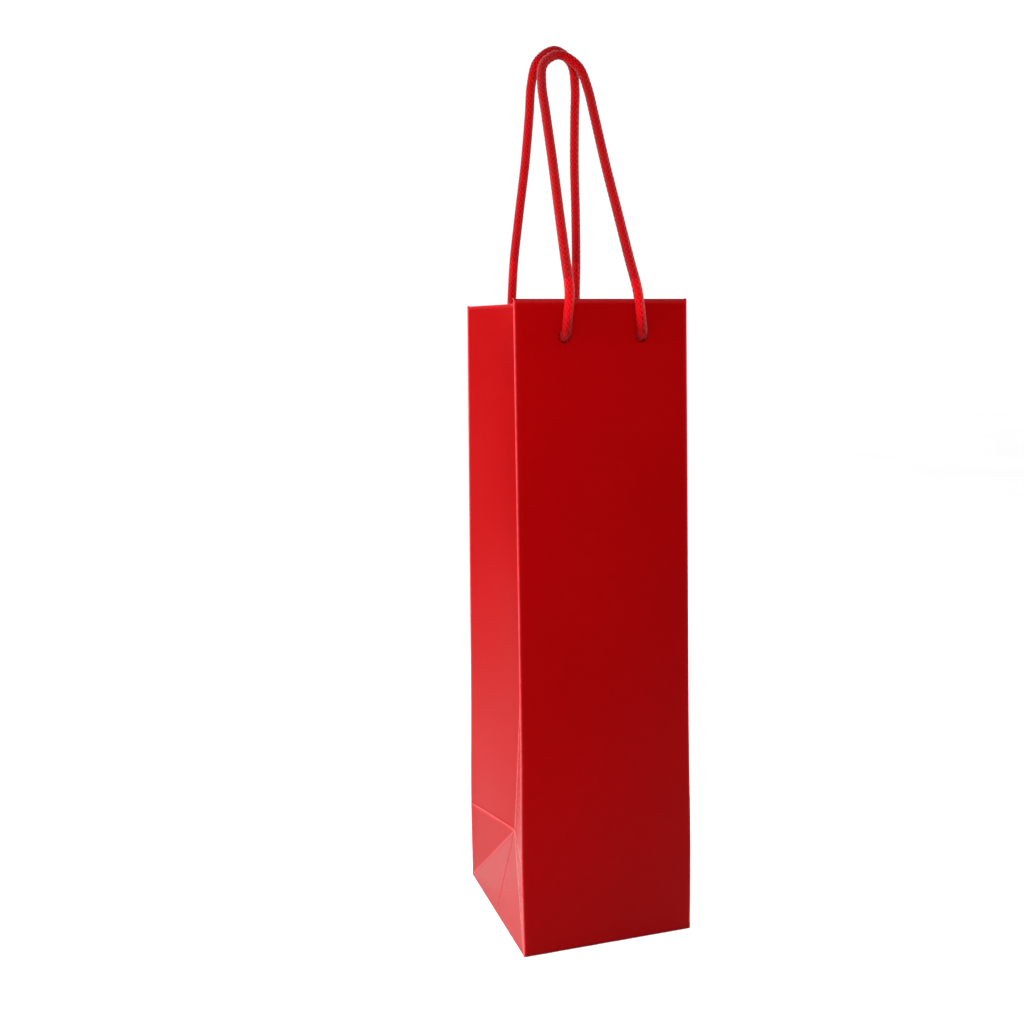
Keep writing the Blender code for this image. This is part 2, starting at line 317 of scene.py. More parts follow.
def white_paper(name, colour=(0.80, 0.785, 0.745)):
    """The uncoated back of the sheet, with its fibres."""
    s = Surface(name, IOR=1.35, Metallic=0.0)
    fibres = s.noise(900.0, 5.0, 0.7, (1.0, 1.0, 0.35))
    cloud = s.noise(90.0, 3.0)
    tint = s.mix(s.range(cloud, 0.3, 0.7, 0.0, 1.0), colour, tuple(c * 0.93 for c in colour))
    tint = s.mix(s.range(fibres, 0.35, 0.62, 0.30, 0.0), tint, tuple(c * 0.74 for c in colour))
    s.set(Base_Color=tint, Roughness=s.range(fibres, 0.3, 0.7, 0.72, 0.88))
    s.set(Normal=s.bump(fibres, 0.35, 0.00012))
    return s.material


def grey_board(name):
    """Recycled board with short fibres and flecks."""
    s = Surface(name, IOR=1.35, Metallic=0.0)
    fibres = s.noise(1100.0, 5.0, 0.75, (0.3, 1.0, 1.0))
    flecks = s.noise(650.0, 1.0)
    tint = s.mix(s.range(fibres, 0.3, 0.7, 0.0, 1.0), (0.40, 0.375, 0.335), (0.56, 0.535, 0.49))
    tint = s.mix(s.range(flecks, 0.66, 0.72, 0.0, 0.7), tint, (0.22, 0.20, 0.18))
    tint = s.mix(s.range(flecks, 0.33, 0.27, 0.0, 0.6), tint, (0.72, 0.70, 0.66))
    s.set(Base_Color=tint, Roughness=s.range(fibres, 0.3, 0.7, 0.80, 0.93))
    s.set(Normal=s.bump(fibres, 0.4, 0.00015))
    return s.material


def red_cord(name):
    """Braided cord. The map gives turns round the cord and turns of lay along it."""
    s = Surface(name, IOR=1.45, Metallic=0.0, Specular_Tint=(1.0, 0.01, 0.02))
    split = s.add("SeparateXYZ", {0: s.add("UVMap", uv_map="braid").outputs[0]})
    around, along = split.outputs["X"], split.outputs["Y"]
    lean = s.math("GREATER_THAN", s.attribute("lean"), 0.5)
    filaments_per_strand = 5
    across = {}
    for key, way in (("rising", -1.0), ("falling", 1.0)):
        turns = s.math("MULTIPLY_ADD", along, way, around)
        filaments = s.math("MULTIPLY", turns, math.tau * STRANDS * filaments_per_strand)
        across[key] = s.math("SINE", filaments)
    yarn = s.add("Mix", {0: lean, 2: across["falling"], 3: across["rising"]}, data_type="FLOAT")
    filament = s.range(yarn.outputs[0], -1.0, 1.0, 0.0, 1.0)
    fuzz = s.noise(2600.0, 3.0, 0.7)
    depth = s.attribute("crown")
    bright, dull = (0.270, 0.0010, 0.0022), (0.170, 0.0005, 0.0012)
    red = s.mix(s.range(filament, 0.0, 1.0, 0.0, 0.45), bright, dull)
    red = s.mix(s.range(fuzz, 0.3, 0.7, 0.0, 0.30), red, (0.390, 0.0020, 0.0036))
    # Painted shade: darker in the braid's valleys and where the cord goes into its hole.
    red = s.mix(s.range(depth, 0.0, 0.85, 1.0, 0.0), red, (0.035, 0.0002, 0.0004))
    rough = s.range(fuzz, 0.3, 0.7, 0.42, 0.60)
    thread = s.bump(filament, 0.55, 0.00010)
    s.set(Base_Color=red, Roughness=rough, Normal=s.bump(fuzz, 0.35, 0.00006, thread))
    return s.material


def floor_white(name):
    """Plain pale floor, very slightly cloudy."""
    s = Surface(name, IOR=1.40, Metallic=0.0)
    cloud = s.noise(3.0, 2.0)
    white = s.mix(s.range(cloud, 0.3, 0.7, 0.0, 1.0), (0.90, 0.90, 0.90), (0.88, 0.88, 0.88))
    s.set(Base_Color=white)
    s.set(Roughness=s.range(cloud, 0.3, 0.7, 0.62, 0.70))
    return s.material


# ---------------------------------------------------------------- shape of the sheet


def half_depth(z):
    """Half the distance between the outer faces of the front and back panels."""
    return HALF_BASE - (HALF_BASE - HALF_MOUTH) * np.clip(z / HEIGHT, 0.0, 1.0)


def inset(z):
    """How far the middle of the folded side plane lies inside it, as if there were no foot."""
    share = np.clip((z - APEX_HEIGHT) / (HEIGHT - APEX_HEIGHT), 0.0, 1.0)
    upper = np.sqrt(APEX_INSET**2 + (MOUTH_INSET**2 - APEX_INSET**2) * share)
    return np.where(z < APEX_HEIGHT, APEX_INSET * half_depth(z) / half_depth(APEX_HEIGHT), upper)


def lean(z):
    """Angle of a gusset half to the side plane, seen from above."""
    return np.arctan2(inset(z), half_depth(z))


def tangent(z):
    """How far from the sharp corner the rounding of the fold starts."""
    return FOLD * np.cos(lean(z)) / (1 - np.sin(lean(z)))


def soft_least(a, b, width):
    """The lesser of a and b, rounded over the width where they meet."""
    return 0.5 * (a + b - np.sqrt((a - b) ** 2 + width**2))


def bell(value, centre, width):
    """1 at the centre, falling smoothly to nothing a few widths away."""
    return np.exp(-(((value - centre) / width) ** 2))


def step(value, low, high):
    """0 up to low, 1 from high on, and smooth between them."""
    share = np.clip((value - low) / (high - low), 0.0, 1.0)
    return share * share * (3 - 2 * share)


def corner_swell(z):
    """The folded edges stand out a little just above the foot."""
    return 0.0006 * bell(z, 0.055, 0.040) * step(z, 0.0, 0.02)


def panel_bulge(x, z, side):
    """How far a panel stands out from flat: a shallow pillow with faint waves."""
    across = np.clip(1 - (x / HALF_WIDTH) ** 2, 0.0, 1.0)
    up = step(z, 0.0, 0.05) * (1 - step(z, 0.27, 0.345))
    waves = 0.00016 * np.sin(31 * x + 17 * z + 1.3 * side) * np.sin(23 * z + 0.7)
    return across * up * (0.00055 + 0.00025 * np.sin(15 * z + side) + waves)


def gusset_depth(y, z, side):
    """How far inside the side plane a gusset lies at y and z."""
    edge = half_depth(z)
    ridge = np.sqrt(y**2 + CREASE_WIDTH**2) - CREASE_WIDTH
    upper = inset(z) * (1 - ridge / edge)
    foot = APEX_INSET * z / APEX_HEIGHT
    depth = np.where(z < APEX_HEIGHT * 1.6, soft_least(foot, upper, 0.00035), upper)
    depth = np.maximum(depth, 0.0)
    share = np.abs(y) / edge
    room = np.sin(np.pi * np.clip(share, 0.0, 1.0)) * step(z, 0.05, 0.12)
    billow = 0.0007 * np.sin(13 * z + 0.8 + side)
    billow = billow + 0.00035 * np.sin(39 * z + 2.0 * side + 3 * np.sign(y))
    level = FOOT_CREASE + (APEX_HEIGHT - FOOT_CREASE) * (1 - share)
    crease = bell(z, level, 0.00055) * step(share, 0.0, 0.06)
    crease = crease - 0.8 * bell(z, level + 0.0012, 0.0007) * step(share, 0.0, 0.06)
    below_apex = (1 - step(z, APEX_HEIGHT - 0.004, APEX_HEIGHT)) * step(z, 0.0, 0.004)
    middle = bell(y, 0.0, 0.00045) * below_apex
    return depth + room * billow + 0.00022 * crease + 0.00018 * middle


def gusset_wear_and_highlights(y, z):
    """How rubbed a gusset's printed film is along every crease, with painted highlight lines on the creases,
    the rim and the floor fold.
    """
    edge = half_depth(z)
    share = np.abs(y) / edge
    level = FOOT_CREASE + (APEX_HEIGHT - FOOT_CREASE) * (1 - share)
    valley = np.abs(APEX_INSET * z / APEX_HEIGHT - inset(z) * (1 - share))
    # Rubbed film and painted highlight: a paler line along the foot's level crease and its valleys.
    wear_and_light_values = 0.75 * bell(z, level - 0.0003, 0.0006)
    wear_and_light_values = np.maximum(wear_and_light_values, 0.5 * bell(valley, 0.0, 0.00016) * (1 - step(z, 0.046, 0.049)))
    low_middle = 0.35 * bell(y, 0.0, CREASE_WIDTH) * (1 - step(z, 0.046, 0.049))
    wear_and_light_values = np.maximum(wear_and_light_values, low_middle)
    wear_and_light_values = np.maximum(wear_and_light_values, 0.6 * bell(y, 0.0, CREASE_WIDTH) * step(z, 0.048, 0.052))
    # Painted highlight: a paler line along the rim; at the floor fold, rubbed film and painted highlight.
    wear_and_light_values = np.maximum(wear_and_light_values, 0.9 * bell(z, HEIGHT, CREASE_WIDTH))
    return np.maximum(wear_and_light_values, 0.9 * bell(z, 0.0, CREASE_WIDTH))


# ---------------------------------------------------------------- mesh building


def spread(*stops):
    """Values from stop to stop: each stop is (end value, number of cells)."""
    values = [stops[0][0]]
    for end, cells in stops[1:]:
        values.extend(np.linspace(values[-1], end, cells + 1)[1:])
    return np.array(values)


def grid_faces(rows, columns, skip=None):
    faces = []
    for r in range(rows - 1):
        for c in range(columns - 1):
            if skip is None or not skip[r, c]:
                low = r * columns + c
                faces.append((low, low + 1, low + 1 + columns, low + columns))
    return faces


def vertex_normals(points, faces):
    quads = np.array(faces)
    first = points[quads[:, 2]] - points[quads[:, 0]]
    second = points[quads[:, 3]] - points[quads[:, 1]]
    cross = np.cross(first, second)
    normals = np.zeros_like(points)
    for corner in range(4):
        np.add.at(normals, quads[:, corner], cross)
    return normals / np.maximum(np.linalg.norm(normals, axis=1, keepdims=True), 1e-12)


def link(name, mesh, materials):
    for item in materials:
        mesh.materials.append(item)
    obj = bpy.data.objects.new(name, mesh)
    bpy.context.scene.collection.objects.link(obj)
    return obj


def put_attribute(mesh, name, values):
    attribute = mesh.attributes.new(name, "FLOAT", "POINT")
    attribute.data.foreach_set("value", np.asarray(values, np.float32).ravel())


def paper_piece(name, points, faces, outward, wear_and_painted_light, cut=False):
    """A sheet of paper behind its outer face. outward is a direction that this face looks in.

    Its edges are white if it is cut there, and red where it only meets the next piece of the sheet.
    """
    points = np.asarray(points, float)
    normals = vertex_normals(points, faces)
    if float(np.mean(normals @ np.array(outward, float))) < 0:
        faces = [face[::-1] for face in faces]
        normals = -normals
    count = len(points)
    inner = points - normals * PAPER
    inner[:, 2] = np.maximum(inner[:, 2], FLOOR_GAP)
    inner_faces = [tuple(i + count for i in reversed(face)) for face in faces]
    edges = {}
    for face in faces:
        for a, b in zip(face, (*face[1:], face[0])):
            edges[(a, b)] = True
    rim = [(b, a, a + count, b + count) for a, b in edges if (b, a) not in edges]
    mesh = bpy.data.meshes.new(name)
    mesh.from_pydata(np.vstack([points, inner]).tolist(), [], faces + inner_faces + rim)
    indices = np.zeros(len(mesh.polygons), np.int32)
    # Inside the rim's fold the sheet is never seen, so it stays red there.
    below_rim = points[np.array(faces)][:, :, 2].min(axis=1) < HEIGHT - RIM_FOLD
    indices[len(faces) : 2 * len(faces)] = below_rim
    indices[2 * len(faces) :] = cut
    mesh.polygons.foreach_set("material_index", indices)
    mesh.shade_smooth()
    mesh.update()
    mesh.set_sharp_from_angle(angle=math.radians(50))
    put_attribute(mesh, "wear_and_painted_light", np.concatenate([np.ravel(wear_and_painted_light), np.zeros(count)]))
    return link(name, mesh, (red_film, paper_back))


def grid_piece(name, points, outward, wear_and_painted_light, cut=False):
    rows, columns = points.shape[:2]
    return paper_piece(name, points.reshape(-1, 3), grid_faces(rows, columns), outward, wear_and_painted_light, cut)


def punch(points, wear_and_painted_light, columns_at, rows_at, surface):
    """Opens the round cord holes in a grid: each hole's square of cells becomes rings round it."""
    rows, columns = points.shape[:2]
    skip = np.zeros((rows - 1, columns - 1), bool)
    flat = points.reshape(-1, 3).tolist()
    wear_and_light_values = np.ravel(wear_and_painted_light).tolist()
    extra = []
    low_row = int(np.argmin(abs(rows_at - (HOLE_HEIGHT - HOLE_BLOCK))))
    high_row = int(np.argmin(abs(rows_at - (HOLE_HEIGHT + HOLE_BLOCK))))
    low_row, high_row = sorted((low_row, high_row))
    for hole_x in (-HOLE_X, HOLE_X):
        left = int(np.argmin(abs(columns_at - (hole_x - HOLE_BLOCK))))
        right = int(np.argmin(abs(columns_at - (hole_x + HOLE_BLOCK))))
        skip[low_row:high_row, left:right] = True
        loop = [(low_row, c) for c in range(left, right)]
        loop += [(r, right) for r in range(low_row, high_row)]
        loop += [(high_row, c) for c in range(right, left, -1)]
        loop += [(r, left) for r in range(high_row, low_row, -1)]
        ring = [r * columns + c for r, c in loop]
        for share in (0.35, 0.65, 0.85, 1.0):
            fresh = []
            for r, c in loop:
                x, z = columns_at[c], rows_at[r]
                away = np.array([x - hole_x, z - HOLE_HEIGHT])
                rim = away / np.linalg.norm(away) * HOLE_RADIUS
                spot = away + (rim - away) * share
                fresh.append(len(flat))
                flat.append(list(surface(hole_x + spot[0], HOLE_HEIGHT + spot[1])))
                # Painted shade: the hole's edge is darkened.
                wear_and_light_values.append(-0.8 if share == 1.0 else 0.0)
            for i in range(len(loop)):
                j = (i + 1) % len(loop)
                extra.append((ring[i], ring[j], fresh[j], fresh[i]))
            ring = fresh
    return np.array(flat), grid_faces(rows, columns, skip) + extra, wear_and_light_values


# ---------------------------------------------------------------- panels, hems and cards


def hole_dimple(x, z):
    """The paper is drawn in a little round each hole."""
    dimple = 0.0
    for hole_x in (-HOLE_X, HOLE_X):
        dimple = dimple + bell(np.hypot(x - hole_x, z - HOLE_HEIGHT), 0.0, 0.0042)
    return 0.00022 * dimple


# Fine at the corners, and with whole cells across each hole's square
PANEL_COLUMNS = spread(
    (-PANEL_EDGE, 0),
    (-0.0485, 2),
    (-HOLE_X - HOLE_BLOCK, 10),
    (-HOLE_X + HOLE_BLOCK, 8),
    (HOLE_X - HOLE_BLOCK, 16),
    (HOLE_X + HOLE_BLOCK, 8),
    (0.0485, 10),
    (PANEL_EDGE, 2),
)


def build_panel(side, y_sign):
    """A panel from its fold at the floor, up its face, and over the rim to the middle of the wall."""
    heights = spread(
        (0.0006, 0),
        (0.004, 4),
        (0.075, 40),
        (0.325, 110),
        (HOLE_HEIGHT - HOLE_BLOCK, 3),
        (HOLE_HEIGHT + HOLE_BLOCK, 8),
        (0.3535, 9),
        (HEIGHT - FOLD, 3),
    )
    rows = [(FOLD * 2.4, FLOOR_GAP)]
    rows += [
        (FOLD * (1 - math.cos(a)), FOLD * (1 - math.sin(a)) + FLOOR_GAP)
        for a in np.radians(np.linspace(90, 12, 6))
    ]
    rows += [(0.0, z) for z in heights]
    top_straight_row = len(rows) - 1
    rows += [
        (FOLD * (1 - math.cos(a)), HEIGHT - FOLD * (1 - math.sin(a)))
        for a in np.radians(np.linspace(15, 90, 6))
    ]
    rows.append((WALL / 2, HEIGHT))

    def surface(x, z, inward=0.0):
        out = half_depth(z) - inward + panel_bulge(x, z, y_sign) - hole_dimple(x, z)
        return (x, y_sign * out, z)

    arcs = 6
    tuck_in, tuck_aside = 0.0006, 0.0002  # the sheet's edge, hidden behind the gusset's
    points, wear_and_painted_light = [], []
    for inward, z in rows:
        turn_to = math.pi / 2 + float(lean(z))
        start = HALF_WIDTH - float(tangent(z)) + float(corner_swell(z))
        line, wear_and_light_values = [], []
        # Painted shade: the rim's top and the fold at the floor are darkened.
        rim = max(float(bell(z, HEIGHT, 0.0005)), float(bell(z, 0.0, 0.0006)))
        # Painted highlight: a paler line just under the rim.
        under_rim_highlight = 0.35 * float(bell(z, HEIGHT - 0.0011, 0.0004))
        for x_sign in (-1, 1):
            arc = []
            for i in range(1, arcs + 1):
                a = turn_to * i / arcs
                x = start + FOLD * math.sin(a)
                arc.append((x_sign * x, FOLD * (1 - math.cos(a)), 1.0))
            last_x, last_in, _ = arc[-1]
            along = (-x_sign * math.sin(turn_to - math.pi / 2), math.cos(turn_to - math.pi / 2))
            hidden_x = last_x + along[0] * tuck_in - x_sign * tuck_aside
            arc.append((hidden_x, last_in + along[1] * tuck_in, 0.0))
            if x_sign < 0:
                face = ((x, 0.0, 0.0) for x in PANEL_COLUMNS * start / PANEL_EDGE)
                line = [*reversed(arc), *face]
            else:
                line += arc
        for x, fold_in, fold_wear_and_highlight in line:
            spot = surface(np.clip(x, -HALF_WIDTH, HALF_WIDTH), z, inward + fold_in)
            points.append((x, spot[1], z))
            # The folded edges are paler: rubbed film and painted highlight.
            edge = float(bell(start - abs(x), 0.0, 0.0004)) * 0.7
            wear_and_light_values.append(max(fold_wear_and_highlight, edge, under_rim_highlight) - rim)
        wear_and_painted_light.append(wear_and_light_values)
    columns = len(wear_and_painted_light[0])
    points = np.array(points).reshape(len(rows), columns, 3)
    columns_at = points[top_straight_row, :, 0]
    rows_at = np.array([z for _, z in rows])
    flat, faces, wear_and_light_values = punch(points, wear_and_painted_light, columns_at, rows_at, surface)
    piece = paper_piece(f"{side}_panel_sheet", flat, faces, (0, y_sign, 0), wear_and_light_values)
    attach(piece, "bag")
    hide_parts(f"{side}_panel")


def build_hem(side, y_sign):
    """The turned-in rim, from the middle of the wall's top down the inside to its cut edge."""
    hem_low = HEIGHT - HEM_HEIGHT
    rows = [(WALL / 2, HEIGHT)]
    rows += [
        (WALL - FOLD * (1 - math.sin(a)), HEIGHT - FOLD * (1 - math.cos(a)))
        for a in np.radians(np.linspace(0, 90, 7))
    ]
    hole_top, hole_foot = HOLE_HEIGHT + HOLE_BLOCK, HOLE_HEIGHT - HOLE_BLOCK
    for z in spread((HEIGHT - FOLD, 0), (hole_top, 10), (hole_foot, 8), (hem_low, 8))[1:]:
        rows.append((WALL, z))
    columns_at = PANEL_COLUMNS * HEM_HALF_WIDTH / PANEL_EDGE
    # The columns beside the holes stay where the holes need them.
    inside = np.abs(PANEL_COLUMNS) < HOLE_ZONE
    columns_at = np.where(inside, PANEL_COLUMNS, columns_at)

    def surface(x, z, inward=WALL):
        wave = 0.5 + 0.5 * np.sin(90 * x + y_sign)
        lift = 0.00035 * step(hem_low + 0.010 - z, 0.0, 0.010) * wave
        out = half_depth(z) - inward + 0.5 * hole_dimple(x, z) - lift
        return (x, y_sign * out, z)

    points = np.array([[surface(x, z, inward) for x in columns_at] for inward, z in rows])
    rows_at = np.array([z for _, z in rows])
    wear_and_painted_light = np.array([[0.8 * float(bell(z, HEIGHT, 0.0004))] * len(columns_at) for _, z in rows])
    flat, faces, wear_and_light_values = punch(points, wear_and_painted_light, columns_at, rows_at, surface)
    piece = paper_piece(f"{side}_hem_band", flat, faces, (0, -y_sign, 0), wear_and_light_values, cut=True)
    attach(piece, "bag")
    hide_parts(f"{side}_hem")


# ---------------------------------------------------------------- gussets


def gusset_point(x_sign, y, z, inward=0.0):
    """A point on a gusset, moved inward at a right angle to it."""
    depth = gusset_depth(y, z, x_sign)
    reach = 0.0005
    further = gusset_depth(np.abs(y) + reach, z, x_sign)
    nearer = gusset_depth(np.abs(y) - reach, z, x_sign)
    slope = (further - nearer) / (2 * reach)
    size = np.sqrt(1 + slope**2)
    depth = depth + inward / size
    y = y - np.sign(y) * slope * inward / size
    swell = corner_swell(z) * np.clip(np.abs(y) / half_depth(z), 0.0, 1.0) ** 6
    return np.stack([x_sign * (HALF_WIDTH - depth + swell), y, z + 0 * y], axis=-1)


def gusset_row(x_sign, y_sign, y, z, inward):
    """A row of points across half a gusset, from its folded edge to its middle."""
    y = np.append(y[:-1], y_sign * NUDGE)
    line = gusset_point(x_sign, y, np.full_like(y, z), inward)
    line[-1, 1] = 0.0
    return line


def blend_gusset(piece):
    """Bakes the piece's placement into its mesh."""
    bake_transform(piece)


def build_gusset_half(side, half, x_sign, y_sign):
    """Half of a gusset with its half of the foot, from the floor up and over the rim."""
    heights = spread((FOLD, 0), (0.0460, 100), (0.0510, 20), (0.0650, 14), (HEIGHT - FOLD, 150))
    rows = [(3 * FOLD, FLOOR_GAP)]
    rows += [
        (FOLD * (1 - math.cos(a)), FOLD * (1 - math.sin(a)) + FLOOR_GAP)
        for a in np.radians(np.linspace(90, 15, 6))
    ]
    rows += [(0.0, z) for z in heights]
    rows += [
        (GUSSET_FOLD * (1 - math.cos(a)), HEIGHT - GUSSET_FOLD * (1 - math.sin(a)))
        for a in np.radians(np.linspace(15, 90, 5))
    ]
    shares = spread((0.0, 0), (0.03, 4), (0.97, 66), (1.0, 6))
    points, wear_and_painted_light = [], []
    for inward, z in rows:
        reach = half_depth(z) - tangent(z) * np.cos(lean(z))
        y = y_sign * reach * (1 - shares)
        points.append(gusset_row(x_sign, y_sign, y, z, inward))
        wear_and_painted_light.append(gusset_wear_and_highlights(y, np.full_like(y, z)))
    name = f"{side}_gusset_{half}_sheet"
    piece = grid_piece(name, np.array(points), (x_sign, 0, 0), wear_and_painted_light)
    blend_gusset(piece)
    foot = (f"{side}_foot_{half}_facet", f"{side}_foot_base_facet")
    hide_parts(f"{side}_gusset_{half}_half", *foot)


def build_gusset_hem(side, half, x_sign, y_sign):
    """The turned-in rim of half a gusset."""
    hem_low = HEIGHT - HEM_HEIGHT
    rows = [
        (GUSSET_FOLD * (1 + math.sin(a)), HEIGHT - GUSSET_FOLD * (1 - math.cos(a)))
        for a in np.radians(np.linspace(0, 90, 6))
    ]
    rows += [(2 * GUSSET_FOLD, z) for z in spread((HEIGHT - GUSSET_FOLD, 0), (hem_low, 22))[1:]]
    shares = spread((0.055, 0), (0.96, 36), (1.0, 5))
    points, wear_and_painted_light = [], []
    for inward, z in rows:
        y = y_sign * half_depth(z) * (1 - shares)
        points.append(gusset_row(x_sign, y_sign, y, z, inward))
        # Painted highlight: a paler line along the rim's top.
        wear_and_painted_light.append(np.full(len(y), 0.8 * float(bell(z, HEIGHT, 0.0004))))
    name = f"{side}_gusset_{half}_hem_band"
    piece = grid_piece(name, np.array(points), (-x_sign, 0, 0), wear_and_painted_light, cut=True)
    blend_gusset(piece)
    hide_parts(f"{side}_gusset_{half}_hem")


# ---------------------------------------------------------------- bottom


def build_bottom_flap(side, y_sign):
    """A bottom flap from its fold to its free edge with cut corners. The back one is outermost."""
    outermost = side == "back"
    free, corner, half, lap = 0.0120, 0.0100, 0.0488, 0.00036
    start = HALF_BASE - FOLD * 2
    reach = spread((start, 0), (0.0135, 26), (-free, 30))
    shares = spread((-1.0, 0), (-0.97, 2), (0.97, 36), (1.0, 2))
    points, wear_and_painted_light = [], []
    for along in reach:
        half_here = half - max(0.0, (corner - free) - along)
        # The inner flap climbs over the outer one's edge.
        climb = 0.0 if outermost else lap * float(step(-along, -0.0140, -0.0115))
        points.append([(share * half_here, y_sign * along, FLOOR_GAP + climb) for share in shares])
        wear_and_painted_light.append(np.full(len(shares), 0.7 * float(bell(along, -free, 0.0004))))
    piece = grid_piece(f"bottom_flap_{side}_sheet", np.array(points), (0, 0, -1), wear_and_painted_light, cut=True)
    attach(piece, "bag")
    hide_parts(f"bottom_flap_{side}")


# ---------------------------------------------------------------- cords and knots


def distances_along(points):
    """How far along the path each of its points is."""
    return np.concatenate([[0.0], np.cumsum(np.linalg.norm(np.diff(points, axis=0), axis=1))])


def respaced(points, count):
    """The same path as evenly spaced points."""
    travelled = distances_along(points)
    wanted = np.linspace(0.0, travelled[-1], count)
    return np.stack([np.interp(wanted, travelled, points[:, k]) for k in range(3)], axis=1)


def even_path(route, spacing):
    """Evenly spaced points on a Catmull-Rom curve through the route."""
    route = np.asarray(route, float)
    ends = np.vstack([2 * route[0] - route[1], route, 2 * route[-1] - route[-2]])
    t = np.linspace(0.0, 1.0, 33)[:-1, None]
    fine = []
    for i in range(len(route) - 1):
        before, start, end, after = ends[i : i + 4]
        fine.append(
            0.5
            * (
                2 * start
                + (end - before) * t
                + (2 * before - 5 * start + 4 * end - after) * t**2
                + (3 * start - before - 3 * end + after) * t**3
            )
        )
    fine = np.vstack([*fine, route[-1:]])
    count = max(8, round(distances_along(fine)[-1] / spacing) + 1)
    return respaced(fine, count)


def tightened_knot():
    """An overhand knot pulled tight against the hem. Its points are depth, sideways and up from the hole."""
    t = np.linspace(-2.15, 2.15, 150)
    depth = (t**5 - 10 * t) * KNOT_SCALE / 3.2 + 0.020
    loose = np.stack([depth, (t**3 - 3 * t) * KNOT_SCALE, (t**4 - 4 * t**2) * KNOT_SCALE], axis=1)
    stub = np.array([[d, 0.0, 0.0] for d in np.linspace(0.0, 0.004, 5)])
    tail = np.array([[0.0098, 0.0015, -u] for u in np.linspace(0.0095, 0.0160, 6)])
    last = loose[-1]
    way_round = [
        last + np.array([0.006, 0.002, 0.002]),
        np.array([last[0] + 0.006, 0.010, -0.004]),
        np.array([0.020, 0.007, -0.0085]),
    ]
    route = np.vstack([stub, loose, way_round, tail])
    points = even_path(route, KNOT_STEP)
    touch = 2 * CORD_RADIUS * 0.84
    wall = WALL + 0.0002 + CORD_RADIUS * 0.9
    for round_no in range(KNOT_ROUNDS):
        middle = (points[:-2] + points[2:]) / 2
        points[1:-1] += (middle - points[1:-1]) * 0.45
        gap = points[:, None] - points[None]
        distance = np.linalg.norm(gap, axis=2)
        travelled = distances_along(points)
        apart = np.abs(travelled[:, None] - travelled[None])
        near = (distance < touch) & (apart > touch * 1.9)
        push = np.where(near, (touch - distance) / np.maximum(distance, 1e-9), 0.0)[..., None] * gap
        count = np.maximum(near.sum(axis=1), 1)[:, None]
        points = points + push.sum(axis=1) / count * 0.55
        beyond = travelled > wall
        points[beyond, 0] = np.maximum(points[beyond, 0], wall)
        points[:KNOT_HELD] = stub[:KNOT_HELD]
        points[-KNOT_HELD:] = tail[-KNOT_HELD:]
        if (round_no + 1) % KNOT_RESPACING == 0:
            points = respaced(points, len(points))
    return points


def carried_frames(points):
    """Two directions square to the path at each point, which don't spin along it."""
    tangents = np.gradient(points, axis=0)
    tangents /= np.linalg.norm(tangents, axis=1, keepdims=True)
    side = np.cross(tangents[0], (0.0, 0.0, 1.0))
    if np.linalg.norm(side) < 0.1:
        side = np.cross(tangents[0], (1.0, 0.0, 0.0))
    sides = []
    for tangent_here in tangents:
        side = side - tangent_here * (side @ tangent_here)
        side = side / np.linalg.norm(side)
        sides.append(side)
    sides = np.array(sides)
    return sides, np.cross(tangents, sides)


def braid_heights(travelled):
    """Height over the core of the strands that wind each way: a row a ring, a column a side."""
    around = np.arange(CORD_SIDES) / CORD_SIDES
    along = travelled[:, None] / LAY
    falling = STRANDS * (around[None] + along)
    rising = STRANDS * (around[None] - along)
    rising_index, falling_index = np.round(rising), np.round(falling)

    def crown(value):
        return np.sqrt(np.clip(1 - (2 * 0.97 * value) ** 2, 0.0, 1.0))

    # Each strand passes over one strand of the other way and under the next.
    rising_lift = np.cos(np.pi * falling) * np.cos(np.pi * rising_index)
    falling_lift = np.cos(np.pi * rising) * np.cos(np.pi * falling_index)
    rising_height = YARN_HEIGHT * crown(rising - rising_index) + YARN_LIFT * rising_lift
    falling_height = YARN_HEIGHT * crown(falling - falling_index) - YARN_LIFT * falling_lift
    return rising_height, falling_height


def end_taper(travelled, caps):
    """Shares of the full radius: a closed end is rounded off."""
    taper = np.ones(len(travelled))
    for at_start, closed in zip((True, False), caps):
        if closed:
            distance = travelled - travelled[0] if at_start else travelled[-1] - travelled
            share = np.clip(distance / (CORD_RADIUS * 0.6), 0.0, 1.0)
            dome = np.sqrt(np.clip(1 - (1 - share) ** 2, 0.0, 1.0))
            taper = np.minimum(taper, 0.55 + 0.45 * dome)
    return taper


def braid_freedom(points):
    """How open to the light each ring is: little where the cord is pressed against its hole."""
    outside = np.abs(points[:, 1]) > half_depth(points[:, 2])
    rising_free = step(points[:, 2], HOLE_HEIGHT - 0.004, HOLE_HEIGHT + 0.018)
    return np.where(outside, rising_free, 0.6)


def map_braid(mesh, travelled):
    """Maps the sides: turns round the cord across, and turns of lay up."""
    rings = len(travelled)
    u = np.arange(CORD_SIDES) / CORD_SIDES
    v = travelled / LAY
    quads = np.zeros((rings - 1, CORD_SIDES, 4, 2), np.float32)
    quads[:, :, 0, 0] = quads[:, :, 3, 0] = u[None]
    quads[:, :, 1, 0] = quads[:, :, 2, 0] = u[None] + 1 / CORD_SIDES
    quads[:, :, 0, 1] = quads[:, :, 1, 1] = v[:-1, None]
    quads[:, :, 2, 1] = quads[:, :, 3, 1] = v[1:, None]
    loops = np.zeros((len(mesh.loops), 2), np.float32)
    loops[: quads.size // 2] = quads.reshape(-1, 2)
    mesh.uv_layers.new(name="braid").data.foreach_set("uv", loops.ravel())


